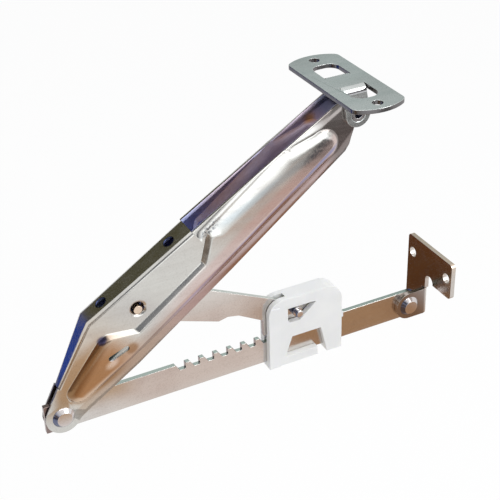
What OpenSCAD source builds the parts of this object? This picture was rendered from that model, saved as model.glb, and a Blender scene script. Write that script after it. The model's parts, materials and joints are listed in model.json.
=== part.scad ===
// Ratchet hinge that raises and locks a seat headrest. All sizes are in millimetres.
// Row frame: origin midway between the two bracket screw holes, on the bracket's mounting face.
// +X leaves the mounting face, the toothed rack runs towards -X, +Z is up.
// Mechanism frame: origin on the arm pivot in the rack's middle plane, X along the rack to the bracket.
// Arm frame: the mechanism frame turned by arm_angle, X along the arm's free edges.

/* [Rack] */

// Distance from the arm pivot to the bracket pivot
pivot_span = 188; // [184:1:200]
// Height of the toothed strip
rack_height = 15; // [14:0.5:16]
// Thickness of the strip that the rack, the pawl and the bracket lug are cut from
strip_t = 2.5; // [2.3:0.1:2.6]
// Length of the rack behind the arm pivot
rack_tail = 8.4; // [8:0.2:9]
// Distance from the arm pivot to the first locking face
first_notch = 62.4; // [60:0.5:66]
// Distance from one locking face to the next
notch_pitch = 7.5; // [7:0.1:7.8]
// Number of notches
notch_count = 7; // [6:1:7]
// Depth of each notch
notch_depth = 3.3; // [2.8:0.1:3.6]

/* [Arm] */

// Distance from the arm pivot to the hinge plate pivot, along the arm
arm_length = 192.5; // [188:0.5:200]
// Offset of the hinge plate pivot above the arm's centre line
arm_end_offset = 3.6; // [3:0.1:4.2]
// Thickness of the pressed sheet
arm_sheet = 1.4; // [1.2:0.1:1.4]
// Outer half width of the channel at the arm pivot
arm_half_low = 2.8; // [2.8:0.1:3.2]
// Outer half width of the channel above the web's end
arm_half_high = 6.9; // [6.6:0.1:7.2]
// Height of the pressed relief on the cheeks
relief_h = 1.7; // [1:0.1:2]
// Length along the arm at which the web ends
web_end = 102.5; // [100:0.5:106]

/* [Pawl and slider] */

// Distance from the pawl's pivot in the arm to its guide pin
pawl_length = 86.94; // [85:0.5:89]
// Height of the guide pin above the rack's centre line
guide_height = 19.4; // [19:0.1:20]
// Radius of the guide pin's collar
guide_pin_r = 2.5; // [2:0.1:2.6]
// Radius of the pawl's pivot pin
pawl_pin_r = 2.1; // [1.8:0.1:2.3]
// Half of the slider's width across the rack
slider_half = 4.5; // [4.3:0.1:5]

/* [Hinge plate] */

// Distance between the two screw holes of the hinge plate
plate_hole_spacing = 55; // [50:1:58]
// Radius of the hinge plate's screw holes
plate_hole_r = 2.5; // [2:0.1:2.8]
// Width of the hinge plate
plate_width = 26.8; // [25:0.2:30]
// Thickness of the hinge plate
plate_t = 2.1; // [1.8:0.1:2.4]

/* [Bracket] */

// Distance between the two screw holes of the bracket
bracket_hole_spacing = 29.3; // [27:0.1:31]
// Radius of the bracket's screw holes
bracket_hole_r = 2.65; // [2.2:0.05:3]
// Distance from the bracket's mounting face to the bracket pivot
bracket_setback = 12; // [12:0.5:14]
// Height of the bracket's screw holes above the rack's centre line
bracket_rise = 23.2; // [22:0.2:26]

/* [Fits] */

// Gap on each side of a pivot that turns
pivot_gap = 0.05; // [0.02:0.01:0.08]
// Gap between sheet faces that slide past each other
face_gap = 0.1; // [0.06:0.01:0.15]
// Room round the pawl's pivot pin for its wander
pawl_wander = 2.6; // [2.5:0.05:2.7]

/* [Hidden] */

$fn = 72;
seat_gap = 0.01;
rack_side = 5.65;
strip_half = strip_t / 2;
rivet_r = 3;
rivet_head_r = 5.4;
rivet_head_h = 1.9;
rivet_flat_r = 3.6;

tooth_land = 2.2;
tooth_slope = 2.3;
lead_in = 2.2;
valley = notch_pitch - tooth_land - tooth_slope;
last_face = first_notch + (notch_count - 1) * notch_pitch;

// Toe of the pawl, measured from the guide pin
toe_back = 14;
toe_lift = 0.8;
toe_width = valley - 0.3;
guide_x = last_face + toe_back;

// Pawl pivot in the arm frame
pawl_at = [60.67, 14.59];
pawl_reach = norm(pawl_at);
guide_dist = norm([guide_x, guide_height]);
pawl_dir = acos((pawl_reach * pawl_reach + guide_dist * guide_dist - pawl_length * pawl_length)
    / (2 * pawl_reach * guide_dist)) + atan2(guide_height, guide_x);
arm_angle = pawl_dir - atan2(pawl_at[1], pawl_at[0]);
pawl_pos = [pawl_reach * cos(pawl_dir), pawl_reach * sin(pawl_dir)];
pawl_tilt = atan2(pawl_pos[1] - guide_height, guide_x - pawl_pos[0]);

plate_pos = [
    arm_length * cos(arm_angle) - arm_end_offset * sin(arm_angle),
    arm_length * sin(arm_angle) + arm_end_offset * cos(arm_angle)
];
plate_rise = 13.5;
plate_back = 2.1;

// Puts a shape from the mechanism frame into the row frame
module mech() {
    translate([-pivot_span - bracket_setback, rack_side, -bracket_rise])
        children();
}

// Raises a side outline, drawn in X and Z, between two Y positions
module side_slab(y0, y1) {
    translate([0, y1, 0])
        rotate([90, 0, 0])
            linear_extrude(y1 - y0)
                children();
}

// A round bar along Y between two Y positions
module bar_y(r, y0, y1) {
    translate([0, y0, 0])
        rotate([-90, 0, 0])
            cylinder(r = r, h = y1 - y0);
}

// A cone along Y: radius ra at ya, radius rb at yb, with ya below yb
module cone_y(ra, rb, ya, yb) {
    translate([0, ya, 0])
        rotate([-90, 0, 0])
            cylinder(r1 = ra, r2 = rb, h = yb - ya);
}

// Bar cut from strip, square at its left end and round at the bracket pivot
module rack_outline() {
    top = rack_height / 2;
    root = top - notch_depth;
    difference() {
        union() {
            translate([-rack_tail, -top])
                square([rack_tail + pivot_span, rack_height]);
            translate([pivot_span, 0])
                circle(r = top);
        }
        for (i = [0 : notch_count - 1])
            notch_outline(first_notch + i * notch_pitch, root, i == 0 ? lead_in : tooth_slope);
    }
}

// One notch: an upright locking face, a flat floor and a slope back up to the edge
module notch_outline(face_x, root, slope) {
    top = rack_height / 2 + 1;
    run = slope * (1 + 1 / notch_depth);
    polygon([
        [face_x, root],
        [face_x, top],
        [face_x - valley - run, top],
        [face_x - valley, root]
    ]);
}

module toothed_rack() {
    color([0.78, 0.77, 0.75])
        mech()
            difference() {
                side_slab(-strip_half, strip_half)
                    rack_outline();
                bar_y(rivet_r + pivot_gap, -strip_t, strip_t);
                translate([pivot_span, 0, 0])
                    bar_y(rivet_r + pivot_gap, -strip_t, strip_t);
            }
}

// Side outline of the arm, in the arm frame
arm_end_r = 8.5;
arm_low_edge = -7.4;
arm_lug_r = 6.3;
end_turn = 115.4;
kink = [41.7, 29.2];
web_fall = 5.7;
high_corner = [arm_length - 3.9, arm_end_offset + 10.7];
edge_line = [
    [arm_end_r * cos(end_turn), arm_end_r * sin(end_turn)],
    kink,
    [web_end, kink[1] - web_fall],
    high_corner
];

// The outline clears the web by a hair, so that it trims only the cheeks beyond the web's ends
trim_spare = 0.04;

// Height of the channel's upper edge at a station along the arm
function arm_edge(x) = lookup(x, edge_line);

module arm_outline() {
    circle(r = arm_end_r);
    translate([arm_length, arm_end_offset])
        circle(r = arm_lug_r);
    polygon(concat([
        [0, arm_low_edge],
        [arm_length - 15.2, arm_low_edge],
        [arm_length - 11.6, arm_low_edge + 1.2],
        [arm_length - 8.6, arm_low_edge + 3.4],
        [arm_length - 4.5, arm_end_offset - arm_lug_r + 1.4],
        [arm_length, arm_end_offset],
        [arm_length - 1.2, arm_end_offset + 9],
        [arm_length - 2.3, arm_end_offset + 10]
    ], [for (i = [len(edge_line) - 1 : -1 : 0]) edge_line[i] + [0, trim_spare]]));
}

// The blank is drawn higher where there is no web, and its outline trims it
web_start = 9.6;
blank_spare = 5;
fold_r = 2;
fold_steps = 3;

function blank_top(x) =
    x < web_start ? arm_edge(web_start) + blank_spare
    : x > web_end ? arm_edge(x) + blank_spare
    : arm_edge(x);

function fold_start(x) = blank_top(x) - fold_r;

// Outer half width of the channel
arm_half_kink = 5.7;
taper_start = 8;

function half_width(x) =
    lookup(x, [[taper_start, arm_half_low], [kink[0], arm_half_kink], [web_end, arm_half_high]]);

// Raised field of each cheek: its two round ends, and the flat pad left open beside the fold
low_round = [14, 4.2];
low_round_r = 6.1;
high_round = [arm_length - 21, 4.2];
high_round_r = 8;
low_side_turn = 18.3;
pad_floor = 8.6;
pad_left = [41.4, 20];
pad_left_fall = 0.94;
pad_right = [web_end - 7.2, pad_floor];
pad_right_rise = 0.82;
field_rise = 4.8;
end_rise = 4.8;
edge_spare = 0.5;

// Lower boundary of the field: beside the flat strip along the free edge, and round at both ends
function strip_line(x) =
    lookup(x, [[30, -1.9], [58, -3.3], [high_round[0], low_of(high_round, high_round_r, high_round[0])]]);

function low_of(round_at, r, x) =
    round_at[1] - sqrt(max(pow(r, 2) - pow(x - round_at[0], 2), pow(0.2 * r, 2)));

function high_of(round_at, r, x) = 2 * round_at[1] - low_of(round_at, r, x);

function field_low(x) =
    x < low_round[0] ? low_of(low_round, low_round_r, x)
    : x > high_round[0] ? low_of(high_round, high_round_r, x)
    : strip_line(x);

// Upper boundary of the field: a straight side below the kink, then round the pad, then the upper edge
low_tangent = low_round[0] - low_round_r * sin(low_side_turn);
pad_low_z = high_of(low_round, low_round_r, low_tangent);

function left_line(x) = pad_left[1] - (x - pad_left[0]) * pad_left_fall;
function right_line(x) = pad_right[1] + (x - pad_right[0]) * pad_right_rise;

function end_line(x) =
    let (x0 = high_round[0] - 16)
    lookup(x, [[x0, arm_edge(x0) + edge_spare],
        [high_round[0], high_of(high_round, high_round_r, high_round[0])]]);

function field_high(x) =
    x < low_tangent ? high_of(low_round, low_round_r, x)
    : x > high_round[0] ? high_of(high_round, high_round_r, x)
    : min(
        pad_low_z + (x - low_tangent) * tan(low_side_turn),
        max(pad_floor, left_line(x), right_line(x)),
        arm_edge(x) + edge_spare,
        end_line(x)
    );

// Width of the slope below the upper boundary, and how round its shoulder is
pad_slope_w = 3.4;
edge_slope_w = 8.5;

function slope_w(x) =
    let (h = field_high(x))
    x < pad_left[0] ? lookup(x, [[low_round[0], end_rise], [pad_left[0], 4.8]])
    : x < web_end + 9 ? min(
        lookup(x, [[pad_left[0], 4.8], [pad_left[0] + 12, pad_slope_w],
            [pad_right[0], pad_slope_w], [pad_right[0] + 2, 4.4]]) + max(0, x - web_end - 5),
        edge_slope_w)
    : lookup(x, [[high_round[0] - 20, edge_slope_w], [high_round[0], end_rise]]);

function shoulder(x) =
    lookup(x, [[pad_left[0] - 2, 2], [pad_left[0] + 2, 1.1], [web_end, 1.1], [web_end + 12, 1.5],
        [high_round[0], 2]]);

// Climbs from 0 to 1 with a sharp start; the higher the power, the rounder the shoulder
function climb(t, power) = t <= 0 ? 0 : t >= 1 ? 1 : 1 - pow(1 - t, power);

function end_climb(x, z, round_at, r) =
    climb((r - norm([x - round_at[0], z - round_at[1]])) / end_rise, 2);

function relief(x, z) =
    relief_h * (
        x < low_round[0] ? end_climb(x, z, low_round, low_round_r)
        : x > high_round[0] ? end_climb(x, z, high_round, high_round_r)
        : min(
            climb((z - field_low(x)) / field_rise, 2),
            climb((field_high(x) - z) / slope_w(x), shoulder(x))
        )
    );

// Stations along the arm, closer where the form turns
function span(a, b, n) = [for (i = [0 : n - 1]) a + (b - a) * i / n];

low_tip = low_round[0] - low_round_r;
high_tip = high_round[0] + high_round_r;
pad_left_end = pad_left[0] + (pad_left[1] - pad_floor) / pad_left_fall;
stations = concat(
    [-arm_end_r - 0.9, low_tip - 0.6, low_tip + 0.1, low_tip + 0.7, low_tip + 1.3, web_start, 10.4, 11.2],
    [low_tangent, 13, 14, 17, 21, 26, 31, 35, 37.5, 39.5, kink[0]],
    [43, 44.5, 46, 48, 50, 51.8, pad_left_end],
    span(pad_left_end + 2, pad_right[0] - 2, 5),
    [for (d = [-7.4, -6.2, -4, -2, 0, 0.8, 2.5, 4.2, 5.6, 7, 8.4, 9.7, 11.4]) web_end + d],
    span(web_end + 16, high_round[0] - 16, 4),
    [for (d = [-16, -12, -8, -4, 0, 1.6, 3.2, 4.6, 5.8, 6.8, 7.5]) high_round[0] + d],
    [high_tip, high_tip + 0.6, high_tip + 6, arm_length + arm_lug_r + 1]
);

// Rows up the cheek, as shares of the two slopes
rise_shares = [0, 0.1, 0.24, 0.42, 0.66, 1];
low_row = arm_low_edge - 2;
side_share = 0.45;
row_count = 2 * len(rise_shares) + 4;

function rows(x) =
    let (
        a = field_low(x),
        b = field_high(x),
        low_w = min(field_rise, side_share * (b - a)),
        high_w = min(slope_w(x), side_share * (b - a)),
        top = max(fold_start(x), b + 0.2)
    )
    concat(
        [low_row],
        [for (k = rise_shares) a + low_w * k],
        [(a + low_w + b - high_w) / 2],
        [for (i = [len(rise_shares) - 1 : -1 : 0]) b - high_w * rise_shares[i]],
        [(b + top) / 2, top]
    );

// One side of a cross section from the free edge over the fold, inset into the sheet
function half_ring(x, inset) =
    let (bend = fold_start(x), r = fold_r - inset)
    concat(
        [for (z = rows(x)) [half_width(x) - inset + relief(x, z), z]],
        [for (k = [1 : fold_steps])
            let (a = 90 * k / fold_steps)
            [half_width(x) - fold_r + r * cos(a), bend + r * sin(a)]]
    );

function whole_ring(x, inset) =
    let (h = half_ring(x, inset), n = len(h))
    concat(
        [for (p = h) [x, -p[0], p[1]]],
        [for (i = [n - 1 : -1 : 0]) [x, h[i][0], h[i][1]]]
    );

// Pressed sheet channel as a loft through its cross sections
module arm_blank() {
    n = 2 * (row_count + fold_steps);
    m = len(stations);
    points = [for (x = stations) for (p = concat(whole_ring(x, 0), whole_ring(x, arm_sheet))) p];
    skin = [for (i = [0 : m - 2]) for (j = [0 : n - 2])
        let (a = i * 2 * n + j, b = a + 2 * n)
        for (f = [[a, a + 1, b], [a + 1, b + 1, b],
            [a + n, b + n, a + n + 1], [a + n + 1, b + n, b + n + 1]]) f];
    rims = [for (i = [0 : m - 2])
        let (a = i * 2 * n, b = a + 2 * n)
        for (f = [[a, b, a + n], [b, b + n, a + n],
            [a + n - 1, a + 2 * n - 1, b + n - 1], [b + n - 1, a + 2 * n - 1, b + 2 * n - 1]]) f];
    low_cap = [for (j = [0 : n - 2]) for (f = [[j, n + j, j + 1], [j + 1, n + j, n + j + 1]]) f];
    last = (m - 1) * 2 * n;
    high_cap = [for (j = [0 : n - 2])
        for (f = [[last + j, last + j + 1, last + n + j],
            [last + j + 1, last + n + j + 1, last + n + j]]) f];
    polyhedron(points, concat(skin, rims, low_cap, high_cap));
}

// Holes and slot pressed into the arm
slot_at = [39.9, 6];
slot_turn = -13;
slot_len = 11;
slot_w = 3;
web_hole_r = 2.7;
web_holes = [52, 92.3];
dimple_hole_r = 3.2;
dimple_ring_r = 5.1;
dimple_depth = 0.6;
dimple_at = pawl_at + [0.4, 0.55];
cut_half = arm_half_high + relief_h + 3;
web_cut = 4;

module arm_channel() {
    pin_half = half_width(pawl_at[0]);
    web_turn = atan(web_fall / (web_end - kink[0]));
    color([0.74, 0.73, 0.7])
        mech()
            rotate([0, -arm_angle, 0])
                difference() {
                    // The pressed blank, trimmed to the side outline
                    intersection() {
                        arm_blank();
                        side_slab(-cut_half, cut_half)
                            arm_outline();
                    }
                    // Arm pivot and hinge plate pivot
                    bar_y(rivet_r + seat_gap, -cut_half, cut_half);
                    translate([arm_length, 0, arm_end_offset])
                        bar_y(hinge_tube_r + seat_gap, -cut_half, cut_half);
                    // Pawl pivot: dished hole in the near cheek, plain seat in the far one
                    translate([dimple_at[0], 0, dimple_at[1]]) {
                        bar_y(dimple_hole_r, -cut_half, 0);
                        cone_y(dimple_ring_r, dimple_hole_r, -pin_half - 0.2, -pin_half + dimple_depth);
                    }
                    translate([pawl_at[0], 0, pawl_at[1]]) {
                        bar_y(pawl_pin_r + seat_gap, 0, cut_half);
                        bar_y(pawl_head_r + 0.1, pin_half - head_seat, cut_half);
                    }
                    // Slot through both cheeks
                    translate([slot_at[0], 0, slot_at[1]])
                        rotate([0, -slot_turn, 0])
                            side_slab(-cut_half, cut_half)
                                slot_outline(slot_len, slot_w);
                    // Screw holes in the web, square to it
                    for (x = web_holes)
                        translate([x, 0, arm_edge(x)])
                            rotate([0, web_turn, 0])
                                translate([0, 0, -web_cut])
                                    cylinder(r = web_hole_r, h = 2 * web_cut);
                }
}

module slot_outline(length, width) {
    reach = (length - width) / 2;
    square([2 * reach, width], center = true);
    translate([-reach, 0])
        circle(d = width);
    translate([reach, 0])
        circle(d = width);
}

// Rivet head along Y, growing away from its seat: way is -1 or 1
module rivet_head(seat_y, way) {
    if (way < 0)
        cone_y(rivet_flat_r, rivet_head_r, seat_y - rivet_head_h, seat_y);
    else
        cone_y(rivet_head_r, rivet_flat_r, seat_y, seat_y + rivet_head_h);
}

module arm_pivot_rivet() {
    color([0.86, 0.86, 0.86])
        mech() {
            rivet_head(-arm_half_low, -1);
            bar_y(rivet_r, -arm_half_low, arm_half_low);
            rivet_head(arm_half_low, 1);
        }
}

pawl_head_r = 3.6;
pawl_shoulder_r = 3.4;
head_seat = 0.15;

// Pin fixed in the far cheek; its end stands free in the near cheek's dished hole
module pawl_pivot_pin() {
    pin_half = half_width(pawl_at[0]);
    seat = pin_half - head_seat;
    shoulder = strip_half + 0.35;
    color([0.82, 0.78, 0.72])
        mech()
            translate([pawl_pos[0], 0, pawl_pos[1]]) {
                bar_y(pawl_pin_r, -pin_half + 0.2, seat + 0.5);
                bar_y(pawl_shoulder_r, shoulder, pin_half - arm_sheet - head_seat);
                cone_y(pawl_head_r, pawl_head_r - 1, seat, seat + 1.2);
            }
}

// Half width of the pawl's bar, and where its lower edge steps up near the slider
bar_half = 8.3;
step_back = 36;
shoulder_back = 48;

// Pawl outline in the mechanism frame, measured from the guide pin
module pawl_outline() {
    toe_z = rack_height / 2 + toe_lift - guide_height;
    toe_x = -toe_back - 0.15;
    away = [-cos(pawl_tilt), sin(pawl_tilt)];
    up = [sin(pawl_tilt), cos(pawl_tilt)];
    // Points along the bar are given by distance from the pin and offset across the bar
    function across(d, o) = away * d + up * o;
    polygon([
        across(pawl_length + 1, bar_half - 0.1),
        across(shoulder_back, bar_half - 0.1),
        [-5.3, 6],
        [1, 4.4],
        [6.5, 4.2],
        [9.2, 2],
        [9.5, -3],
        [8, -6.4],
        [toe_x + 2.2, -6.9],
        [toe_x, -7.4],
        [toe_x, toe_z],
        [toe_x - toe_width, toe_z],
        [toe_x - toe_width - 0.3, -1.8],
        across(step_back - 5.8, -4.8),
        across(step_back, -5.6),
        across(step_back + 4.2, 0.1 - bar_half),
        across(pawl_length + 1, 0.1 - bar_half)
    ]);
}

// Centre of the oversize eye, shifted to where the pivot pin wanders
eye_shift = [-0.09, 0.29];

module pawl_bar() {
    color([0.76, 0.74, 0.72])
        mech()
            difference() {
                translate([guide_x, 0, guide_height])
                    union() {
                        side_slab(-strip_half, strip_half)
                            pawl_outline();
                        translate([pawl_pos[0] - guide_x, 0, pawl_pos[1] - guide_height])
                            bar_y(bar_half, -strip_half, strip_half);
                    }
                translate([pawl_pos[0] + eye_shift[0], 0, pawl_pos[1] + eye_shift[1]])
                    bar_y(pawl_pin_r + pawl_wander, -strip_t, strip_t);
                translate([guide_x, 0, guide_height])
                    bar_y(guide_pin_r + seat_gap, -strip_t, strip_t);
            }
}

// Guide pin fixed in the pawl, with a grooved nose on the near side
module guide_pin() {
    nose_r = 1.9;
    groove_r = 1.4;
    near = -slider_half;
    color([0.86, 0.82, 0.76])
        mech()
            translate([guide_x, 0, guide_height]) {
                bar_y(guide_pin_r, near - 0.4, slider_half - 0.5);
                bar_y(groove_r, near - 1.6, near - 0.4);
                bar_y(nose_r, near - 2.7, near - 1.6);
                cone_y(nose_r - 0.4, nose_r, near - 3, near - 2.7);
            }
}

// Slider outline, measured along X from the guide pin and in Z from the rack's centre line
slider_low = -10.5;
slider_top = 28.3;
slider_left = -15.6;
slider_right = 25.4;
slider_left_r = 7.6;
slider_right_r = 9.8;
border_w = 6;
border_h = 0.4;

module slider_outline() {
    wide = slider_right - slider_left;
    high = slider_top - slider_low;
    translate([slider_left, slider_low]) {
        square([wide, high - slider_right_r]);
        square([slider_left_r, high - slider_left_r]);
        translate([slider_left_r, 0])
            square([wide - slider_left_r - slider_right_r, high]);
        translate([slider_left_r, high - slider_left_r])
            circle(r = slider_left_r);
        translate([wide - slider_right_r, high - slider_right_r])
            circle(r = slider_right_r);
    }
}

// Window through both walls that leaves a free tongue under the rack
module slider_window() {
    polygon([
        [-2.8, 5.3],
        [13.4, 5.3],
        [17.4, slider_low - 1],
        [11.7, slider_low - 1],
        [11.7, -5.8],
        [-6.7, -5.8]
    ]);
}

// Slot that the guide pin rides in: low at the left, with a ramp up to the right
module guide_slot() {
    polygon([
        [-5.1, -4.4],
        [-4.2, -5.4],
        [1.4, -5.5],
        [10.3, 2.2],
        [9.9, 2.9],
        [-5.1, 2.9]
    ]);
}

module slider() {
    rack_half = rack_height / 2 + face_gap;
    pawl_room = strip_half + 0.4;
    color([0.9, 0.91, 0.93])
        mech()
            translate([guide_x, 0, 0])
                difference() {
                    union() {
                        side_slab(-slider_half, slider_half)
                            slider_outline();
                        // Raised border at the left edge
                        side_slab(-slider_half - border_h, slider_half + border_h)
                            intersection() {
                                slider_outline();
                                translate([slider_left, slider_low])
                                    square([border_w, slider_top - slider_low - slider_left_r / 2]);
                            }
                        // Stop nib on the right edge
                        side_slab(-slider_half, -slider_half + 2)
                            translate([slider_right - 0.5, 7.5])
                                square([1.3, 3]);
                    }
                    // Track for the rack
                    side_slab(-strip_half - face_gap, strip_half + face_gap)
                        translate([slider_left - 1, -rack_half])
                            square([slider_right - slider_left + 2, 2 * rack_half]);
                    // Room for the pawl, open at the upper left
                    side_slab(-pawl_room, pawl_room)
                        polygon([
                            [slider_left - 1, rack_half - 1],
                            [12.4, rack_half - 1],
                            [12.4, 24],
                            [10, 26],
                            [-3, 26.1],
                            [-6.4, slider_top + 1],
                            [slider_left - 1, slider_top + 1]
                        ]);
                    // Window and pin slot through both walls
                    side_slab(-slider_half - 1, slider_half + 1)
                        slider_window();
                    translate([0, 0, guide_height])
                        side_slab(-slider_half - 1, slider_half + 1)
                            guide_slot();
                }
}

hinge_tube_r = 3;
ear_in = arm_half_high + 0.2;
ear_out = ear_in + plate_t;
ear_bend = 1.2;
ear_half = 6.2;
window_half = ear_half + 0.4;
window_reach = 20.8;
window_corner_r = 5;
plate_corner_r = 3.4;
plate_bulge = 4.6;

// Top view of the hinge plate: straight sides, shallow round ends and softened corners
module plate_outline() {
    half = plate_width / 2;
    end_r = (half * half + plate_bulge * plate_bulge) / (2 * plate_bulge);
    side_half = plate_hole_spacing / 2 + 1.4;
    end_at = side_half + plate_bulge - end_r;
    corner_x = half - plate_corner_r;
    corner_y = end_at + sqrt(pow(end_r - plate_corner_r, 2) - pow(corner_x, 2));
    square([plate_width, 2 * corner_y], center = true);
    for (s = [-1, 1]) {
        for (x = [-corner_x, corner_x])
            translate([x, s * corner_y])
                circle(r = plate_corner_r);
        intersection() {
            translate([0, s * end_at])
                circle(r = end_r);
            polygon([
                [0, s * end_at],
                [2 * corner_x, s * (2 * corner_y - end_at)],
                [-2 * corner_x, s * (2 * corner_y - end_at)]
            ]);
        }
    }
}

module hinge_plate() {
    under = plate_rise - plate_t;
    bend_y = ear_in - ear_bend;
    color([0.8, 0.82, 0.8])
        mech()
            translate([plate_pos[0], 0, plate_pos[1]])
                difference() {
                    union() {
                        // Flat with its two windows
                        translate([-plate_back, 0, under])
                            linear_extrude(plate_t)
                                difference() {
                                    plate_outline();
                                    for (s = [-1, 1])
                                        window_outline(s, bend_y);
                                    for (s = [-1, 1])
                                        translate([0, s * plate_hole_spacing / 2])
                                            circle(r = plate_hole_r);
                                }
                        // Bent ears
                        for (s = [-1, 1])
                            scale_y(s) {
                                translate([-plate_back - ear_half, bend_y, under - ear_bend])
                                    ear_corner();
                                side_slab(ear_in, ear_out)
                                    ear_outline(under - ear_bend);
                            }
                    }
                    bar_y(hinge_tube_r + pivot_gap, -15, 15);
                    for (s = [-1, 1])
                        scale_y(s)
                            cone_y(hinge_tube_r + pivot_gap, hinge_tube_r + 0.8, ear_out - 0.7, ear_out + 0.05);
                }
}

// Mirrors a part to the other side of the middle plane when way is negative
module scale_y(way) {
    if (way < 0)
        mirror([0, 1, 0])
            children();
    else
        children();
}

// Window that each ear leaves open, with a round outer end
module window_outline(way, inner_y) {
    wide = window_half - window_corner_r;
    far = window_reach - window_corner_r;
    scale_flat(way) {
        translate([-window_half, inner_y])
            square([2 * window_half, far - inner_y]);
        translate([-wide, inner_y])
            square([2 * wide, window_reach - inner_y]);
        for (x = [-wide, wide])
            translate([x, far])
                circle(r = window_corner_r);
    }
}

// Mirrors an outline to the other side of the X axis when way is negative
module scale_flat(way) {
    if (way < 0)
        mirror([0, 1])
            children();
    else
        children();
}

// Quarter of a thick tube along X that joins an ear to the flat
module ear_corner() {
    intersection() {
        rotate([90, 0, 90])
            difference() {
                cylinder(r = ear_bend + plate_t, h = 2 * ear_half);
                translate([0, 0, -1])
                    cylinder(r = ear_bend, h = 2 * ear_half + 2);
            }
        cube([2 * ear_half, ear_bend + plate_t, ear_bend + plate_t]);
    }
}

module ear_outline(top) {
    circle(r = arm_lug_r);
    polygon([
        [-arm_lug_r, 0],
        [arm_lug_r, 0],
        [ear_half - plate_back, top],
        [-ear_half - plate_back, top]
    ]);
}

// Tube fixed in the arm's cheeks, flared into the ears' countersinks
module hinge_rivet() {
    bore_r = 2;
    flare = hinge_tube_r + 0.5;
    color([0.84, 0.82, 0.76])
        mech()
            translate([plate_pos[0], 0, plate_pos[1]])
                difference() {
                    union() {
                        bar_y(hinge_tube_r, -ear_out, ear_out);
                        for (s = [-1, 1])
                            scale_y(s)
                                cone_y(hinge_tube_r, flare, ear_out - 0.5, ear_out);
                    }
                    bar_y(bore_r, -ear_out - 1, ear_out + 1);
                }
}

// Bracket screwed to the frame: plate with two legs, and a lug bent out of the far leg
bracket_t = 2.4;
bracket_half = 19.05;
bracket_top = 9.4;
bracket_near_low = -10.6;
relief_y = [-3.85, 2.65];
relief_top = -6.9;
lug_bend = 1;
lug_y = rack_side - strip_half - face_gap;
corner_r = 2;

// Plate outline in Y and Z of the row frame
module bracket_outline() {
    lug_half = rack_height / 2;
    edge_y = lug_y + lug_bend;
    relief_r = (relief_y[1] - relief_y[0]) / 2;
    difference() {
        union() {
            rounded_rect(-bracket_half, bracket_near_low, bracket_half, bracket_top, corner_r);
            translate([relief_y[1], -bracket_rise + lug_half + 0.2])
                square([bracket_half - relief_y[1], bracket_rise - lug_half]);
            translate([edge_y, -bracket_rise - lug_half])
                square([bracket_half - corner_r - edge_y, bracket_rise]);
            translate([edge_y, -bracket_rise - lug_half + corner_r])
                square([bracket_half - edge_y, bracket_rise]);
            translate([bracket_half - corner_r, -bracket_rise - lug_half + corner_r])
                circle(r = corner_r);
        }
        translate([relief_y[0], bracket_near_low - 5])
            square([2 * relief_r, relief_top - relief_r - bracket_near_low + 5]);
        translate([relief_y[0] + relief_r, relief_top - relief_r])
            circle(r = relief_r);
        for (s = [-1, 1])
            translate([s * bracket_hole_spacing / 2, 0])
                circle(r = bracket_hole_r);
    }
}

module rounded_rect(x0, y0, x1, y1, r) {
    translate([x0 + r, y0])
        square([x1 - x0 - 2 * r, y1 - y0]);
    translate([x0, y0 + r])
        square([x1 - x0, y1 - y0 - 2 * r]);
    for (x = [x0 + r, x1 - r])
        for (y = [y0 + r, y1 - r])
            translate([x, y])
                circle(r = r);
}

module mounting_bracket() {
    lug_half = rack_height / 2;
    outer = lug_bend + bracket_t;
    color([0.6, 0.58, 0.55])
        difference() {
            union() {
                translate([-bracket_t, 0, 0])
                    rotate([90, 0, 90])
                        linear_extrude(bracket_t)
                            bracket_outline();
                // Quarter bend from the plate into the lug
                translate([-outer, lug_y + lug_bend, -bracket_rise - lug_half])
                    intersection() {
                        difference() {
                            cylinder(r = outer, h = rack_height);
                            translate([0, 0, -1])
                                cylinder(r = lug_bend, h = rack_height + 2);
                        }
                        translate([0, -outer, 0])
                            cube([outer, outer, rack_height]);
                    }
                // Lug beside the rack
                translate([0, 0, -bracket_rise])
                    side_slab(lug_y - bracket_t, lug_y) {
                        translate([-bracket_setback, 0])
                            circle(r = lug_half);
                        translate([-bracket_setback, -lug_half])
                            square([bracket_setback - outer, rack_height]);
                    }
            }
            translate([-bracket_setback, rack_side, -bracket_rise])
                bar_y(rivet_r + seat_gap, -12, 0);
        }
}

module bracket_rivet() {
    near = lug_y - bracket_t - rack_side;
    far = strip_half + face_gap;
    color([0.86, 0.86, 0.86])
        mech()
            translate([pivot_span, 0, 0]) {
                rivet_head(near, -1);
                bar_y(rivet_r, near, far);
                rivet_head(far, 1);
            }
}

mounting_bracket();
bracket_rivet();
toothed_rack();
arm_channel();
arm_pivot_rivet();
pawl_bar();
pawl_pivot_pin();
guide_pin();
slider();
hinge_plate();
hinge_rivet();
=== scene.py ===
"""Looks of a ratchet headrest hinge: zinc plated steel and a white nylon slider, in a plain studio."""

import json
import math
from collections import namedtuple

import bpy
from mathutils import Matrix, Vector


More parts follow.
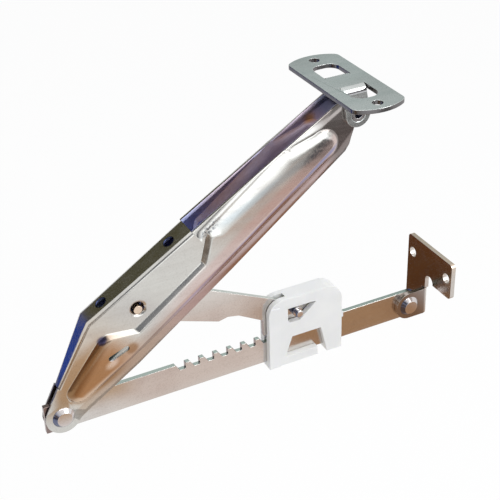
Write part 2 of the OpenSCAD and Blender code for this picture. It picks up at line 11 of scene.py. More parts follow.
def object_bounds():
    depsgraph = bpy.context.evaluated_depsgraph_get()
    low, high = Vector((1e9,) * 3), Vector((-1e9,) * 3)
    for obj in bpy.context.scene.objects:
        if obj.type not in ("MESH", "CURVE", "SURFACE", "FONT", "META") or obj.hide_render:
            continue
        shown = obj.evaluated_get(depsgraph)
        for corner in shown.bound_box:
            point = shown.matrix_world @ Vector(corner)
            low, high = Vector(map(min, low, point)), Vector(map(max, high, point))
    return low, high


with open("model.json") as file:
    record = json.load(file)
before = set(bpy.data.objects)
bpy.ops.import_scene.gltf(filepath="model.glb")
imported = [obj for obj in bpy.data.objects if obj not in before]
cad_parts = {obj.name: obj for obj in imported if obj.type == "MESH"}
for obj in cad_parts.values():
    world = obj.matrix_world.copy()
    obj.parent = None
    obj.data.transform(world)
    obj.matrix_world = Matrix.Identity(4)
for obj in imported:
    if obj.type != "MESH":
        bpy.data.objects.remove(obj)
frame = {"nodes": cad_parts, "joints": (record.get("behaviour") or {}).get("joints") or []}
cad_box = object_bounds()
nodes = frame["nodes"]
joints = {joint["name"]: joint for joint in frame["joints"]}
SWING_PIVOT = Vector(joints["rack_swing"]["pos_m"])
ARM_PIVOT = Vector(joints["arm_raise"]["pos_m"])
ARM_SLOPE_DEG = 37.3
PLATE_TOP = cad_box[1].z

# Camera, in metres in the frame of the CAD
CAMERA_PLACE = Vector((-0.30562, -0.41136, 0.31966))
CAMERA_RIGHT = Vector((0.89037, -0.45450, -0.02596))
CAMERA_UP = Vector((0.25701, 0.45476, 0.85272))
CAMERA_LENS_MM = 84.14
CAMERA_SENSOR_MM = 36.0
CAMERA_CLIP_START = 0.01
CAMERA_CLIP_END = 50.0

# Studio, in metres and watts, with colours as shares of full white
WHITE = (1.0, 1.0, 1.0)
FILL_COLOUR = (0.95, 0.97, 1.0)
FILL_STRENGTH = 0.55
FLOOR_SIZE = 12.0
FLOOR_DARK = (0.90, 0.90, 0.90)
FLOOR_PALE = (0.93, 0.93, 0.93)
FLOOR_LIFT = 0.93
LAMP_AIM = Vector((-0.1, 0.0, 0.03))
LAMP_POWER = 7.0
KEY_PLACE = Vector((0.55, -0.75, 0.75))
KEY_SIZE = 0.6
TOP_PLACE = Vector((-0.2, -0.1, 1.3))
TOP_SIZE = 0.9

# Cards around the fitting: name, way to it, distance, width, height, colour, softness of the edge
CARD_AIM = Vector((-0.13, 0.0, 0.03))
CARDS_AROUND = (
    ("dark_card", (-0.36, -0.80, 0.47), 0.75, 0.35, 0.35, (0.10, 0.10, 0.11), 0.35),
    ("slate_card", (-0.36, -0.92, 0.17), 1.2, 0.56, 0.56, (0.19, 0.20, 0.225), 0.2),
    ("olive_card", (-0.33, 0.78, 0.530), 1.0, 1.1, 0.9, (0.095, 0.088, 0.052), 0.2),
    ("blue_card", (-0.80, 0.58, 0.12), 1.0, 1.1, 0.5, (0.03, 0.075, 0.42), 0.2),
    ("sage_card", (0.48, 0.78, 0.38), 1.0, 0.60, 0.36, (0.44, 0.50, 0.49), 0.3),
    ("side_card", (-0.78, -0.62, 0.05), 0.9, 0.6, 0.4, (0.34, 0.21, 0.11), 0.3),
    ("front_window", (0.34, -0.92, 0.12), 1.2, 0.95, 0.95, (1.95, 2.0, 2.05), 0.2),
)

# Cards that lie face up below the fitting: name, middle along X and Y, width, depth, colour, softness
# of the edge. The first lies lowest and each of the others one step higher, so no two share a plane.
CARD_GAP = 0.0006
CARD_STEP = 0.00004
CARDS_BELOW = (
    ("front_glow", 0.16, -0.80, 0.95, 0.90, (1.9, 1.95, 2.0), 0.4),
    ("blue_floor", -0.85, 0.60, 1.3, 1.1, (0.03, 0.075, 0.42), 0.15),
    ("brown_floor_left", -0.50, -0.28, 0.56, 0.42, (0.36, 0.22, 0.12), 0.3),
    ("rose_card", -0.112, -0.030, 0.16, 0.09, (0.84, 0.72, 0.67), 0.5),
    ("gold_card", -0.182, -0.034, 0.06, 0.06, (0.62, 0.42, 0.26), 0.5),
    ("orange_card", -0.035, -0.02, 0.12, 0.07, (0.46, 0.27, 0.15), 0.5),
    ("tan_card", -0.012, -0.155, 0.15, 0.10, (0.70, 0.54, 0.47), 0.5),
    ("grey_card", 0.105, -0.24, 0.20, 0.20, (0.17, 0.155, 0.15), 0.4),
    ("brown_card_left", -0.225, -0.20, 0.17, 0.16, (0.13, 0.10, 0.08), 0.4),
    ("sand_card", -0.225, -0.09, 0.08, 0.07, (0.80, 0.62, 0.46), 0.5),
    ("ink_card", -0.335, -0.035, 0.22, 0.13, (0.06, 0.07, 0.12), 0.35),
    ("brown_card_back", -0.045, 0.062, 0.13, 0.13, (0.125, 0.052, 0.020), 0.5),
)

# Edges and flats: widths and distances in metres, angles in degrees
STRIP_EDGE = 0.00018
PLATE_EDGE = 0.0002
RIVET_EDGE = 0.00012
SLIDER_EDGE = 0.00035
EDGE_SEGMENTS = 2
WELD_DISTANCE = 0.000001
FLAT_ANGLE_DEG = 0.5
FLAT_WEIGHT = 100
SHARP_DEG = 35.0
ARM_SHARP_DEG = 32.0

# Sockets of the Mix node that carry colours
MIX_A = 6
MIX_B = 7
MIX_RESULT = 2

# Zinc: noise scales in waves per metre and heights in metres. Here and below, a fade is the two ends of
# a smooth step, with the share that it rises to or falls from where that isn't 1.
CLOUD_SCALE = 38.0
CLOUD_FADE = (0.42, 0.7)
STREAK_STRETCH = (12.0, 260.0, 260.0)
STREAK_HEIGHT = 0.000010
STREAK_SHADE = (0.35, 0.75, 0.10)
STREAK_ENDS = (0.3, 0.7)
STREAK_ROUGHNESS = (-0.03, 0.05)
PIT_SCALE = 1500.0
PIT_HEIGHT = 0.4 * STREAK_HEIGHT
PIT_SHADE = (0.5, 0.72, 0.16)
GRAIN_STRENGTH = 0.6
GRAIN_COLOUR = (0.45, 0.43, 0.42)
ZINC_ROUGHNESS = 0.2
RIVET_ROUGHNESS = 0.18

# Arm: all places are metres along it from its pivot, across it, or off its middle plane
NEAR_FADE = (-0.001, 0.001)
# Inside of the channel: where its painted shade and reflection lie, how strong it is, and its added
# roughness
INNER_FADE = (-0.0012, -0.0004)
INNER_SHARE = 0.92
INNER_ROUGHNESS = 0.16

# Foot of the arm: a painted gold reflection on its dome, painted brown shade on the dome's left slope,
# and a warm painted reflection around it. The dome's left edge and the plain cheek that it rises from
# are straight lines
DOME_EDGE_SLOPE = 0.35
DOME_EDGE_START = 0.0046
CHEEK_SLOPE = 0.089
CHEEK_START = 0.00203
DOME_IN = (0.007, 0.010)
DOME_OUT = (0.036, 0.054, 0.92)
DOME_LIFT = (0.00006, 0.00035)
DOME_SHADE = (0.0015, 0.007)
DOME_SLOPE_SHADE_BROWN = (0.26, 0.13, 0.045)
DOME_REFLECTED_GOLD = (0.60, 0.43, 0.30)
WARM_IN = (0.0, 0.012)
WARM_OUT = (0.030, 0.060, 0.5)
WARM_REFLECTION_TINT = (0.66, 0.54, 0.42)

# Painted light on the near cheek at the foot: a painted pale highlight around the slot's lower end, painted
# brown shade at its upper end and a spot of painted dark navy shade on the dome's left edge. Columns:
# middle, reach, softness, share, tint. Middle and reach are along and across.
FOOT_PAINTED_LIGHT = (
    ((0.0342, 0.0044), (0.0050, 0.0030), 0.8, 0.95, (0.97, 0.95, 0.99)),
    ((0.0456, 0.0030), (0.0042, 0.0040), 0.6, 0.75, (0.36, 0.20, 0.085)),
    ((0.0396, 0.0174), (0.0032, 0.0026), 0.6, 0.9, (0.07, 0.07, 0.17)),
)

# Dark blotchy marks on the raised field have the same columns, and then the ends of the blotches that break
# them up and the share that is left between the blotches
BLOTCH_SCALE = 700.0
DARK_BLOTCHY_MARKS = (
    ((0.168, 0.0055), (0.0130, 0.0032), 0.7, 0.9, (0.13, 0.135, 0.155), (0.38, 0.62), 0.35),
    ((0.1095, 0.0182), (0.0090, 0.0026), 0.7, 0.9, (0.07, 0.08, 0.10), (0.42, 0.60), 0.15),
)

# Free edge of the arm: the rim beside it, in painted pink reflection, the straight line of the fold, whose
# crease has painted dark shade, and the margin below the fold, in painted reflection
FOLD_SLOPE = 0.006
FOLD_START = -0.0016
RIM_IN = (0.05, 0.09)
RIM_FADE = (0.0035, 0.0075, 0.7)
RIM_REFLECTED_PINK = (0.66, 0.50, 0.47)
MARGIN_ENDS = (-0.0016, -0.0004)
MARGIN_START = (0.0, 0.010)
MARGIN_CHANGE = (0.045, 0.08)
UPPER_MARGIN_SHARE = 0.8
UPPER_MARGIN_PAINTED_TINT = (0.47, 0.36, 0.355)
LOWER_MARGIN_SHARE = 0.65
LOWER_MARGIN_PAINTED_TINT = (0.47, 0.36, 0.27)
LINE_FADE = (0.0005, 0.0014, 0.65)
LINE_IN = (0.016, 0.026)
LINE_OUT = (0.172, 0.180)
CREASE_SHADE_BROWN = (0.24, 0.15, 0.11)

# Tints of the dark line of painted shade, from the foot up, the first a lavender painted highlight: the
# fade in which each takes over, and the tint
CREASE_PAINTED_TINTS = (
    ((0.055, 0.085), (0.42, 0.40, 0.60)),
    ((0.115, 0.130), (0.24, 0.17, 0.27)),
    ((0.140, 0.165), (0.16, 0.20, 0.42)),
)

# Cool grey band of painted reflection below the field's bright slope, around a straight line
BAND_SLOPE = -0.177
BAND_START = 0.0352
BAND_FADE = (0.0004, 0.0030, 0.6)
BAND_IN = (0.108, 0.118)
BAND_OUT = (0.155, 0.170)
BAND_REFLECTED_GREY = (0.42, 0.48, 0.51)

# Upper end of the arm: the flat around the raised field, which gets a painted dark grey reflection
FIELD_LIFT = (0.0071, 0.0080)
END_LEAN = 0.3
END_FADE = (0.1655, 0.1765, 0.9)
END_REFLECTED_GREY = (0.23, 0.20, 0.19)

# Inside of the channel: painted shade and reflection between the cheeks
INSIDE_CLOUDS = (0.46, 0.66)
INSIDE_SHADE_VIOLET = (0.46, 0.38, 0.47)
INSIDE_SHADE_BLUE = (0.40, 0.40, 0.58)
AMBER_MIDDLE = (0.1765, 0.011)
AMBER_REACH = (0.0045, 0.0040)
AMBER_SOFTNESS = 0.8
AMBER_SHARE = 0.85
AMBER_REFLECTION = (0.62, 0.33, 0.11)
MOUTH_FADE = (0.179, 0.186, 0.8)
MOUTH_SHADE_SLATE = (0.20, 0.23, 0.34)

# Painted shade and light inside the channel below a place along it, each over the one before: fade and tint
INSIDE_PAINTED_TINTS = (
    ((0.100, 0.125, 0.8), (0.36, 0.44, 0.78)),
    ((0.094, 0.100), (0.06, 0.08, 0.22)),
    ((0.047, 0.050), (0.66, 0.74, 0.74)),
    ((0.014, 0.020), (0.10, 0.07, 0.08)),
)

# Web of the arm: the holes in it, with painted navy shade on their walls, and the stretch below its kink,
# whose face looks mostly along -X, with a painted navy reflection
WEB_HOLES = (0.052, 0.0923)
WEB_HOLE_REACH = (0.00295, 0.00295)
WEB_HOLE_SOFTNESS = 0.03
HOLE_WALL_SHADE_NAVY = (0.06, 0.075, 0.16)
WEB_LOW_END = (0.008, 0.018)
WEB_TOP_END = (0.026, 0.040)
WEB_KINK = (0.044, 0.048)
WEB_FACE = (-0.82, -0.68, 0.75)
WEB_REFLECTED_NAVY = (0.10, 0.12, 0.17)

# Rivets: painted navy shade on the left and painted mauve reflection below, by fades over X and Z of the
# direction that a face looks in
RIVET_LEFT = (-0.62, -0.22, 0.9)
RIVET_LEFT_SHADE_NAVY = (0.09, 0.11, 0.20)
RIVET_LOW = (-0.65, -0.30, 0.5)
RIVET_REFLECTED_MAUVE = (0.42, 0.38, 0.44)

# Bracket: a painted warm reflection that grows with height, and painted grey shade on its lug, which is
# what faces sideways in front of the plate
BRACKET_WARM = (0.0, 0.022, 0.8)
BRACKET_REFLECTED_BRASS = (0.78, 0.52, 0.30)
LUG_FACE = (0.75, 0.95)
LUG_END = (-0.0030, -0.0022)
LUG_CLOUDS = (0.35, 0.65)
LUG_SHARES = (0.75, 0.6)
LUG_SHADE_GREY = (0.22, 0.20, 0.21)

# Hinge plate: painted dark shade on its cut edges, which lie within its thickness below the top of the CAD
# box
CUT_FACE = (0.3, 0.6, 0.85)
CUT_LEVEL = (PLATE_TOP - 0.0034, PLATE_TOP - 0.0026)
CUT_EDGE_SHADE = (0.10, 0.085, 0.09)

# Flat bars: painted green reflection on their top edges, and painted brown shade on their square ends and
# on the end of the rack beyond the arm's pivot
BAR_TOP = (0.85, 0.97, 0.75)
BAR_TOP_REFLECTED_GREEN = (0.34, 0.45, 0.41)
BAR_END = (-0.95, -0.75, 0.8)
RACK_END = (ARM_PIVOT.x - 0.0060, ARM_PIVOT.x - 0.0035, 0.85)
BAR_END_SHADE_BROWN = (0.20, 0.13, 0.12)

# Nylon: tones, and its noises' scales and heights
NYLON_GREY = (0.80, 0.805, 0.80)
NYLON_WHITE = (0.84, 0.84, 0.83)
NYLON_CLOUD_SCALE = 60.0
NYLON_CLOUD_FADE = (0.35, 0.7)
NYLON_GRAIN_SCALE = 2200.0
NYLON_GRAIN_HEIGHT = 0.00001

ArmPlace = namedtuple("ArmPlace", "along across off_middle near")


class Graph:
    """Short calls for building a material or a world from nodes. A value is a socket, number or colour."""

    def __init__(self, tree):
        self.tree = tree
        tree.nodes.clear()

    def node(self, kind, **settings):
        made = self.tree.nodes.new(kind)
        for name, value in settings.items():
            setattr(made, name, value)
        return made

    def link(self, source, target):
        self.tree.links.new(source, target)

    def put(self, target, value):
        """Links a socket to an input, or sets a plain number or colour on it."""
        if isinstance(value, bpy.types.NodeSocket):
            self.link(value, target)
        elif target.type == "RGBA":
            target.default_value = (*value, 1.0)
        else:
            target.default_value = value

    def math(self, operation, a, b=0.0):
        made = self.node("ShaderNodeMath", operation=operation)
        self.put(made.inputs[0], a)
        self.put(made.inputs[1], b)
        return made.outputs[0]

    def product(self, first, *others):
        made = first
        for value in others:
            made = self.math("MULTIPLY", made, value)
        return made

    def line(self, value, slope, start):
        """Height of a straight line, which is start where value is 0."""
        return self.math("ADD", self.math("MULTIPLY", value, slope), start)

    def distance(self, a, b):
        return self.math("ABSOLUTE", self.math("SUBTRACT", a, b))

    def ramp(self, value, low, high, to_low, to_high):
        """to_low up to low, to_high from high on, and a smooth step between them."""
        made = self.node("ShaderNodeMapRange", interpolation_type="SMOOTHSTEP")
        for socket, setting in zip(made.inputs, (value, low, high, to_low, to_high)):
            self.put(socket, setting)
        return made.outputs[0]

    def rise(self, value, low, high, share=1.0):
        """0 up to low, and share from high on."""
        return self.ramp(value, low, high, 0.0, share)

    def fall(self, value, low, high, share=1.0):
        """share up to low, and 0 from high on."""
        return self.ramp(value, low, high, share, 0.0)

    def spot(self, u, v, middle, reach, softness):
        """1 in the middle of an ellipse in the plane of u and v, falling to 0 at its reach."""
        off_u = self.math("DIVIDE", self.math("SUBTRACT", u, middle[0]), reach[0])
        off_v = self.math("DIVIDE", self.math("SUBTRACT", v, middle[1]), reach[1])
        squares = self.math("ADD", self.product(off_u, off_u), self.product(off_v, off_v))
        return self.fall(self.math("SQRT", squares), 1.0 - softness, 1.0)

    def mix(self, factor, a, b, blend="MIX"):
        made = self.node("ShaderNodeMix", data_type="RGBA", blend_type=blend)
        self.put(made.inputs[0], factor)
        self.put(made.inputs[MIX_A], a)
        self.put(made.inputs[MIX_B], b)
        return made.outputs[MIX_RESULT]

    def noise(self, place, scale, detail=3.0, roughness=0.5):
        made = self.node("ShaderNodeTexNoise")
        self.put(made.inputs["Vector"], place)
        self.put(made.inputs["Scale"], scale)
        self.put(made.inputs["Detail"], detail)
        self.put(made.inputs["Roughness"], roughness)
        return made.outputs[0]

    def bump(self, height, distance, strength, normal=None):
        made = self.node("ShaderNodeBump")
        self.put(made.inputs["Height"], height)
        self.put(made.inputs["Distance"], distance)
        self.put(made.inputs["Strength"], strength)
        if normal is not None:
            self.link(normal, made.inputs["Normal"])
        return made.outputs[0]

    def parts(self, vector):
        """The three parts of a vector, as sockets."""
        made = self.node("ShaderNodeSeparateXYZ")
        self.link(vector, made.inputs[0])
        return tuple(made.outputs)

    def point(self):
        """X, Y and Z of the place on the object, in metres."""
        return self.parts(self.node("ShaderNodeTexCoord").outputs["Object"])

    def facing(self):
        """X, Y and Z of the direction that the face looks in."""
        return self.parts(self.node("ShaderNodeTexCoord").outputs["Normal"])

    def mapped(self, stretch=(1.0, 1.0, 1.0), turn=(0.0, 0.0, 0.0), shift=(0.0, 0.0, 0.0)):
        """The place on the object, stretched along the object's axes, then turned, then shifted."""
        made = self.node("ShaderNodeMapping")
        self.link(self.node("ShaderNodeTexCoord").outputs["Object"], made.inputs["Vector"])
        made.inputs["Scale"].default_value = stretch
        made.inputs["Rotation"].default_value = turn
        made.inputs["Location"].default_value = shift
        return made.outputs[0]

    def arm_place(self):
        """Where a point lies on the arm. near is 1 on the near side of the middle plane and 0 beyond it."""
        turn = Matrix.Rotation(math.radians(ARM_SLOPE_DEG), 3, "Y")
        along, off_middle, across = self.parts(self.mapped(turn=turn.to_euler(), shift=-(turn @ ARM_PIVOT)))
        return ArmPlace(along, across, off_middle, self.fall(off_middle, *NEAR_FADE))

    def seen_sharply(self):
        """1 for rays from the camera, reflections and clear things, 0 for those that gather soft light."""
        path = self.node("ShaderNodeLightPath")
        seen = self.math("MAXIMUM", path.outputs["Is Camera Ray"], path.outputs["Is Glossy Ray"])
        return self.math("MAXIMUM", seen, path.outputs["Is Transmission Ray"])

    def glow(self, kind, colour, strength):
        """Even light from a surface or a world, by the kind of its node."""
        made = self.node(kind)
        self.put(made.inputs["Color"], colour)
        self.put(made.inputs["Strength"], strength)
        return made.outputs[0]

    def blend(self, factor, a, b):
        """Mix of two shaders."""
        made = self.node("ShaderNodeMixShader")
        self.put(made.inputs[0], factor)
        self.link(a, made.inputs[1])
        self.link(b, made.inputs[2])
        return made.outputs[0]


def new_material(name):
    """A new material, the graph that fills it, and the input that takes its surface."""
    material = bpy.data.materials.new(name)
    material.use_nodes = True
    graph = Graph(material.node_tree)
    return material, graph, graph.node("ShaderNodeOutputMaterial").inputs["Surface"]


def zinc(name, base, tint, turn_deg=0.0, roughness=ZINC_ROUGHNESS, painted_light_and_marks=None):
    """Bright zinc plate: grain along the object's X, cloudy tints and fine pits. The function given last
    lays painted reflection and shade, and on the arm two dark blotchy marks, over the colour and says
    what they add to the roughness."""
    material, graph, surface = new_material(name)
    turn = (0.0, math.radians(turn_deg), 0.0)
    place = graph.mapped(turn=turn)
    clouds = graph.noise(place, CLOUD_SCALE, detail=4.0, roughness=0.55)
    streaks = graph.noise(graph.mapped(STREAK_STRETCH, turn), 1.0, detail=5.0, roughness=0.6)
    pits = graph.noise(place, PIT_SCALE, detail=2.0)

    colour = graph.mix(graph.rise(clouds, *CLOUD_FADE), base, tint)
    dull = 0.0
    # Painted reflection and shade, and the arm's dark blotchy marks, are laid on here
    if painted_light_and_marks is not None:
        colour, dull = painted_light_and_marks(graph, colour, clouds)
    speckle = graph.math("ADD", graph.rise(streaks, *STREAK_SHADE), graph.rise(pits, *PIT_SHADE))
    colour = graph.mix(speckle, colour, GRAIN_COLOUR, blend="MULTIPLY")
    rough = graph.math("ADD", graph.ramp(streaks, *STREAK_ENDS, *STREAK_ROUGHNESS), roughness)
    rough = graph.math("ADD", rough, dull)
    fine = graph.bump(pits, PIT_HEIGHT, GRAIN_STRENGTH)

    shader = graph.node("ShaderNodeBsdfPrincipled")
    shader.inputs["Metallic"].default_value = 1.0
    graph.link(colour, shader.inputs["Base Color"])
    graph.link(rough, shader.inputs["Roughness"])
    graph.link(graph.bump(streaks, STREAK_HEIGHT, GRAIN_STRENGTH, fine), shader.inputs["Normal"])
    graph.link(shader.outputs[0], surface)
    return material


def arm_painted_light_and_marks(graph, colour, clouds):
    """Painted reflection and shade on the arm, and two dark blotchy marks, from the outside in."""
    at = graph.arm_place()
    colour = foot_tints(graph, colour, at)
    colour = edge_tints(graph, colour, at)
    colour = field_tints(graph, colour, at)
    inside = graph.fall(graph.product(graph.facing()[1], at.off_middle), *INNER_FADE)
    colour = graph.mix(graph.product(inside, INNER_SHARE), colour, inside_painted_light(graph, clouds, at))
    colour = web_tints(graph, colour, at)
    return colour, graph.product(inside, INNER_ROUGHNESS)


def near_cheek_spot(graph, colour, at, middle, reach, softness, share, tint, left=1.0):
    """A round tint on the near cheek, of which left says how much is left at each point. It lays the foot's
    painted light and the field's dark blotchy marks.
    """
    spot = graph.product(graph.spot(at.along, at.across, middle, reach, softness), at.near, left)
    return graph.mix(graph.product(spot, share), colour, tint)


def foot_tints(graph, colour, at):
    """Foot: a painted gold reflection on the dome with painted brown shade on its left slope, a warm
    painted reflection around it, a painted highlight and two spots of painted shade.
    """
    warm = graph.product(graph.fall(at.along, *WARM_OUT), graph.rise(at.along, *WARM_IN))
    colour = graph.mix(warm, colour, WARM_REFLECTION_TINT)

    cheek = graph.line(at.along, CHEEK_SLOPE, CHEEK_START)
    lift = graph.math("SUBTRACT", graph.math("ABSOLUTE", at.off_middle), cheek)
    dome = graph.product(graph.rise(at.along, *DOME_IN), graph.fall(at.along, *DOME_OUT),
                         graph.rise(lift, *DOME_LIFT))
    from_edge = graph.math("SUBTRACT", graph.line(at.along, DOME_EDGE_SLOPE, DOME_EDGE_START), at.across)
    gold = graph.mix(graph.rise(from_edge, *DOME_SHADE), DOME_SLOPE_SHADE_BROWN, DOME_REFLECTED_GOLD)
    colour = graph.mix(dome, colour, gold)
    for spot_row in FOOT_PAINTED_LIGHT:
        colour = near_cheek_spot(graph, colour, at, *spot_row)
    return colour


def edge_tints(graph, colour, at):
    """Free edge: painted pink reflection along the rim, and a dark line of painted shade along the fold, in
    part a lavender painted highlight, with a painted reflection tinting the margin below it.
    """
    rim = graph.product(graph.fall(at.across, *RIM_FADE), graph.rise(at.along, *RIM_IN))
    colour = graph.mix(rim, colour, RIM_REFLECTED_PINK)

    above_fold = graph.math("SUBTRACT", at.across, graph.line(at.along, FOLD_SLOPE, FOLD_START))
    upper = graph.product(graph.fall(above_fold, *MARGIN_ENDS, UPPER_MARGIN_SHARE),
                          graph.rise(at.along, *MARGIN_CHANGE))
    colour = graph.mix(upper, colour, UPPER_MARGIN_PAINTED_TINT)
    lower = graph.product(graph.fall(above_fold, *MARGIN_ENDS, LOWER_MARGIN_SHARE),
                          graph.rise(at.along, *MARGIN_START), graph.fall(at.along, *MARGIN_CHANGE))
    colour = graph.mix(lower, colour, LOWER_MARGIN_PAINTED_TINT)

    line = graph.product(graph.fall(graph.math("ABSOLUTE", above_fold), *LINE_FADE),
                         graph.rise(at.along, *LINE_IN), graph.fall(at.along, *LINE_OUT))
    dark = CREASE_SHADE_BROWN
    for fade, tint in CREASE_PAINTED_TINTS:
        dark = graph.mix(graph.rise(at.along, *fade), dark, tint)
    return graph.mix(line, colour, dark)


def field_tints(graph, colour, at):
    """Raised field: a cool band of painted reflection below it, a painted dark grey reflection on the flat
    around its upper end, and two dark blotchy marks.
    """
    off_band = graph.distance(at.across, graph.line(at.along, BAND_SLOPE, BAND_START))
    band = graph.product(graph.fall(off_band, *BAND_FADE), graph.rise(at.along, *BAND_IN),
                         graph.fall(at.along, *BAND_OUT))
    colour = graph.mix(band, colour, BAND_REFLECTED_GREY)

    leaning = graph.math("SUBTRACT", at.along, graph.product(at.across, END_LEAN))
    raised = graph.rise(graph.math("ABSOLUTE", at.off_middle), *FIELD_LIFT)
    end_flat = graph.product(graph.rise(leaning, *END_FADE), graph.fall(raised, 0.0, 1.0))
    colour = graph.mix(end_flat, colour, END_REFLECTED_GREY)

    blotches = graph.noise(graph.mapped(), BLOTCH_SCALE, roughness=0.6)
    for *spot_row, ends, least in DARK_BLOTCHY_MARKS:
        colour = near_cheek_spot(graph, colour, at, *spot_row, left=graph.ramp(blotches, *ends, least, 1.0))
    return colour


def inside_painted_light(graph, clouds, at):
    """Inside of the channel, painted shade and reflection: violet and blue clouds, amber and slate at its
    mouth, and steps below.
    """
    tint = graph.mix(graph.rise(clouds, *INSIDE_CLOUDS), INSIDE_SHADE_VIOLET, INSIDE_SHADE_BLUE)
    amber = graph.spot(at.along, at.across, AMBER_MIDDLE, AMBER_REACH, AMBER_SOFTNESS)
    tint = graph.mix(graph.product(amber, AMBER_SHARE), tint, AMBER_REFLECTION)
    tint = graph.mix(graph.rise(at.along, *MOUTH_FADE), tint, MOUTH_SHADE_SLATE)
    for fade, below in INSIDE_PAINTED_TINTS:
        tint = graph.mix(graph.fall(at.along, *fade), tint, below)
    return tint


def web_tints(graph, colour, at):
    """Web: painted navy shade on the walls of its holes, and painted navy reflection towards both ends of
    the stretch below its kink.
    """
    for hole in WEB_HOLES:
        wall = graph.spot(at.along, at.off_middle, (hole, 0.0), WEB_HOLE_REACH, WEB_HOLE_SOFTNESS)
        colour = graph.mix(wall, colour, HOLE_WALL_SHADE_NAVY)
    ends = graph.math("MAXIMUM", graph.rise(at.along, *WEB_TOP_END), graph.fall(at.along, *WEB_LOW_END))
    ends = graph.product(ends, graph.fall(graph.facing()[0], *WEB_FACE), graph.fall(at.along, *WEB_KINK))
    return graph.mix(ends, colour, WEB_REFLECTED_NAVY)


def rivet_painted_light(graph, colour, _clouds):
    """Rivets: painted mauve reflection below and painted navy shade on the left side of their cones."""
    x, _, z = graph.facing()
    colour = graph.mix(graph.fall(z, *RIVET_LOW), colour, RIVET_REFLECTED_MAUVE)
    return graph.mix(graph.fall(x, *RIVET_LEFT), colour, RIVET_LEFT_SHADE_NAVY), 0.0


def bracket_painted_light(graph, colour, clouds):
    """Bracket: painted warm reflection towards its top, painted grey shade on the bent lug."""
    x, _, z = graph.point()
    colour = graph.mix(graph.rise(z, *BRACKET_WARM), colour, BRACKET_REFLECTED_BRASS)
    sideways = graph.rise(graph.math("ABSOLUTE", graph.facing()[1]), *LUG_FACE)
    lug = graph.product(sideways, graph.fall(x, *LUG_END), graph.ramp(clouds, *LUG_CLOUDS, *LUG_SHARES))
    return graph.mix(lug, colour, LUG_SHADE_GREY), 0.0


def plate_painted_shade(graph, colour, _clouds):
    """Hinge plate: painted dark shade on its cut edges."""
    upward = graph.math("ABSOLUTE", graph.facing()[2])
    cut = graph.product(graph.fall(upward, *CUT_FACE), graph.rise(graph.point()[2], *CUT_LEVEL))
    return graph.mix(cut, colour, CUT_EDGE_SHADE), 0.0


def strip_painted_light(graph, colour, _clouds):
    """Flat bars: painted greenish reflection on the cut edges along the top, painted brown shade on the
    ends.
    """
    face_x, _, face_z = graph.facing()
    colour = graph.mix(graph.rise(face_z, *BAR_TOP), colour, BAR_TOP_REFLECTED_GREEN)
    end = graph.math("MAXIMUM", graph.fall(face_x, *BAR_END), graph.fall(graph.point()[0], *RACK_END))
    return graph.mix(end, colour, BAR_END_SHADE_BROWN), 0.0


def nylon(name):
    """Moulded white nylon, a little translucent, with a fine moulding texture."""
    material, graph, surface = new_material(name)
    place = graph.mapped()
    clouds = graph.noise(place, NYLON_CLOUD_SCALE)
    grain = graph.noise(place, NYLON_GRAIN_SCALE, detail=2.0)
    shader = graph.node("ShaderNodeBsdfPrincipled")
    colour = graph.mix(graph.rise(clouds, *NYLON_CLOUD_FADE), NYLON_GREY, NYLON_WHITE)
    graph.link(colour, shader.inputs["Base Color"])
    shader.inputs["Roughness"].default_value = 0.38
    shader.inputs["Subsurface Weight"].default_value = 0.25
    shader.inputs["Subsurface Radius"].default_value = (0.004, 0.004, 0.005)
    shader.inputs["Subsurface Scale"].default_value = 0.5
    shader.inputs["Specular IOR Level"].default_value = 0.5
    graph.link(graph.bump(grain, NYLON_GRAIN_HEIGHT, 0.5), shader.inputs["Normal"])
    graph.link(shader.outputs[0], surface)
    return material


def dress(node_name, material, edge=0.0, sharp_deg=SHARP_DEG):
    """Gives a CAD node its material, smooth curves beside flat flats, and softly broken edges."""
    piece = nodes[node_name]
    piece.data.materials.clear()
    piece.data.materials.append(material)
    weld = piece.modifiers.new("weld", "WELD")
    weld.merge_threshold = WELD_DISTANCE
    flat = piece.modifiers.new("flat_faces", "DECIMATE")
    flat.decimate_type = "DISSOLVE"
    flat.angle_limit = math.radians(FLAT_ANGLE_DEG)
    if edge > 0.0:
        rounding = piece.modifiers.new("edges", "BEVEL")
        rounding.width = edge
        rounding.segments = EDGE_SEGMENTS
        rounding.limit_method = "ANGLE"
        rounding.angle_limit = math.radians(sharp_deg)
        rounding.use_clamp_overlap = True
        rounding.harden_normals = False
    shading = piece.modifiers.new("flats", "WEIGHTED_NORMAL")
    shading.keep_sharp = True
    shading.weight = FLAT_WEIGHT
    for face in piece.data.polygons:
        face.use_smooth = True
    piece.data.set_sharp_from_angle(angle=math.radians(sharp_deg))


def add_object(name, data):
    """A new object in the scene."""
    made = bpy.data.objects.new(name, data)
    bpy.context.scene.collection.objects.link(made)
    return made


def make_camera():
    """The photograph's camera: a long lens, high and to the left of the fitting."""
    data = bpy.data.cameras.new("camera")
    data.sensor_width = CAMERA_SENSOR_MM
    data.lens = CAMERA_LENS_MM
    data.clip_start = CAMERA_CLIP_START
    data.clip_end = CAMERA_CLIP_END
    camera = add_object("camera", data)
    back = CAMERA_RIGHT.cross(CAMERA_UP).normalized()
    up = back.cross(CAMERA_RIGHT).normalized()
    turn = Matrix((CAMERA_RIGHT.normalized(), up, back)).transposed().to_4x4()
    camera.matrix_world = Matrix.Translation(CAMERA_PLACE) @ turn
    bpy.context.scene.camera = camera


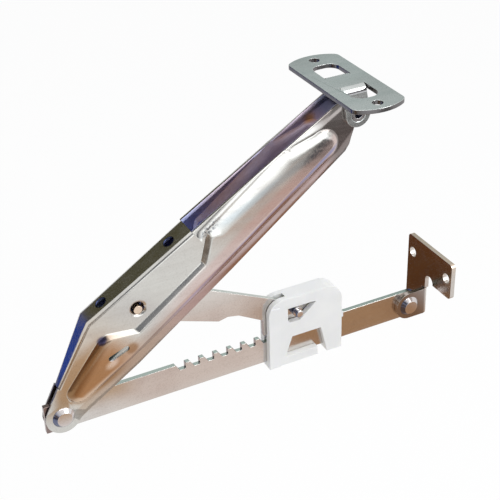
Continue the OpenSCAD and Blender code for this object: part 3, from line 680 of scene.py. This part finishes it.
def make_world():
    """Even surroundings: the camera and reflections see white, and surfaces get a softer fill."""
    world = bpy.data.worlds.new("studio")
    bpy.context.scene.world = world
    world.use_nodes = True
    graph = Graph(world.node_tree)
    fill = graph.glow("ShaderNodeBackground", FILL_COLOUR, FILL_STRENGTH)
    white = graph.glow("ShaderNodeBackground", WHITE, 1.0)
    out = graph.node("ShaderNodeOutputWorld")
    graph.link(graph.blend(graph.seen_sharply(), fill, white), out.inputs["Surface"])


def swing_reach():
    """Height that the fitting reaches down to when it swings below its bracket."""
    low, high = cad_box
    return SWING_PIVOT.z - math.hypot(SWING_PIVOT.x - low.x, high.z - SWING_PIVOT.z)


def make_rectangle(name, width, height, z=0.0):
    """A flat rectangle around the Z axis, at height z."""
    x = width / 2
    y = height / 2
    mesh = bpy.data.meshes.new(name)
    mesh.from_pydata([(-x, -y, z), (x, -y, z), (x, y, z), (-x, y, z)], [], [(0, 1, 2, 3)])
    return add_object(name, mesh)


def make_floor():
    """Pale floor below the whole swing, mostly lifted to white so that only the shadow shows."""
    floor = make_rectangle("floor", FLOOR_SIZE, FLOOR_SIZE, swing_reach())
    material, graph, surface = new_material("floor_paper")
    tone = graph.noise(graph.mapped(), 3.0, detail=2.0)
    paper = graph.node("ShaderNodeBsdfPrincipled")
    graph.link(graph.mix(tone, FLOOR_DARK, FLOOR_PALE), paper.inputs["Base Color"])
    paper.inputs["Roughness"].default_value = 0.9
    paper.inputs["Specular IOR Level"].default_value = 0.0
    lift = graph.product(graph.seen_sharply(), FLOOR_LIFT)
    glow = graph.glow("ShaderNodeEmission", WHITE, 1.0)
    graph.link(graph.blend(lift, paper.outputs[0], glow), surface)
    floor.data.materials.append(material)


def make_card(name, place, aim, width, height, colour, softness):
    """A soft-edged card that only reflections show, as a photographer's flag does."""
    card = make_rectangle(name, width, height)
    card.location = place
    card.rotation_euler = (aim - place).to_track_quat("Z", "Y").to_euler()
    card.visible_camera = False
    card.visible_diffuse = False
    card.visible_shadow = False
    card.visible_transmission = False
    material, graph, surface = new_material(name)
    x, y, _ = graph.point()
    off_x = graph.math("ABSOLUTE", graph.math("DIVIDE", x, width / 2))
    off_y = graph.math("ABSOLUTE", graph.math("DIVIDE", y, height / 2))
    shown = graph.product(graph.fall(off_x, 1.0 - softness, 1.0), graph.fall(off_y, 1.0 - softness, 1.0))
    clear = graph.node("ShaderNodeBsdfTransparent").outputs[0]
    glow = graph.glow("ShaderNodeEmission", colour, 1.0)
    graph.link(graph.blend(shown, clear, glow), surface)
    card.data.materials.append(material)


def make_cards():
    """The cards around the fitting face it, and those below it face up."""
    for name, way, distance, width, height, colour, softness in CARDS_AROUND:
        place = CARD_AIM + Vector(way).normalized() * distance
        make_card(name, place, CARD_AIM, width, height, colour, softness)
    lowest = cad_box[0].z - CARD_GAP
    for step, (name, x, y, width, depth, colour, softness) in enumerate(CARDS_BELOW, start=1):
        place = Vector((x, y, lowest + CARD_STEP * step))
        make_card(name, place, Vector((x, y, 1.0)), width, depth, colour, softness)


def make_lamp(name, place, size):
    """A square soft box that faces the fitting."""
    data = bpy.data.lights.new(name, "AREA")
    data.shape = "SQUARE"
    data.size = size
    data.energy = LAMP_POWER
    lamp = add_object(name, data)
    lamp.location = place
    lamp.rotation_euler = (LAMP_AIM - place).to_track_quat("-Z", "Y").to_euler()


def dress_fitting():
    """Gives every piece its finish, with painted reflection and shade laid over most of the zinc."""
    sheet = zinc("zinc_arm", (0.645, 0.638, 0.605), (0.58, 0.565, 0.54), ARM_SLOPE_DEG, painted_light_and_marks=arm_painted_light_and_marks)
    strip = zinc("zinc_strip", (0.68, 0.66, 0.63), (0.62, 0.58, 0.55), painted_light_and_marks=strip_painted_light)
    plate = zinc("zinc_plate", (0.62, 0.65, 0.64), (0.56, 0.58, 0.57), painted_light_and_marks=plate_painted_shade)
    bracket = zinc("zinc_bracket", (0.62, 0.58, 0.54), (0.54, 0.48, 0.44), painted_light_and_marks=bracket_painted_light)
    rivets = zinc("zinc_rivet", (0.74, 0.73, 0.73), (0.66, 0.62, 0.62), roughness=RIVET_ROUGHNESS,
                  painted_light_and_marks=rivet_painted_light)
    coppery = zinc("zinc_pin", (0.78, 0.62, 0.48), (0.70, 0.58, 0.48))
    white = nylon("white_nylon")

    dress("arm_channel", sheet, sharp_deg=ARM_SHARP_DEG)
    for name in ("toothed_rack", "pawl_bar"):
        dress(name, strip, STRIP_EDGE)
    dress("hinge_plate", plate, PLATE_EDGE)
    dress("mounting_bracket", bracket, PLATE_EDGE)
    for name in ("bracket_rivet", "arm_pivot_rivet", "guide_pin", "hinge_rivet"):
        dress(name, rivets, RIVET_EDGE)
    dress("pawl_pivot_pin", coppery, RIVET_EDGE)
    dress("slider", white, SLIDER_EDGE)


bpy.context.scene.view_settings.view_transform = "Standard"
make_camera()
make_world()
make_floor()
make_lamp("key", KEY_PLACE, KEY_SIZE)
make_lamp("top", TOP_PLACE, TOP_SIZE)
make_cards()
dress_fitting()
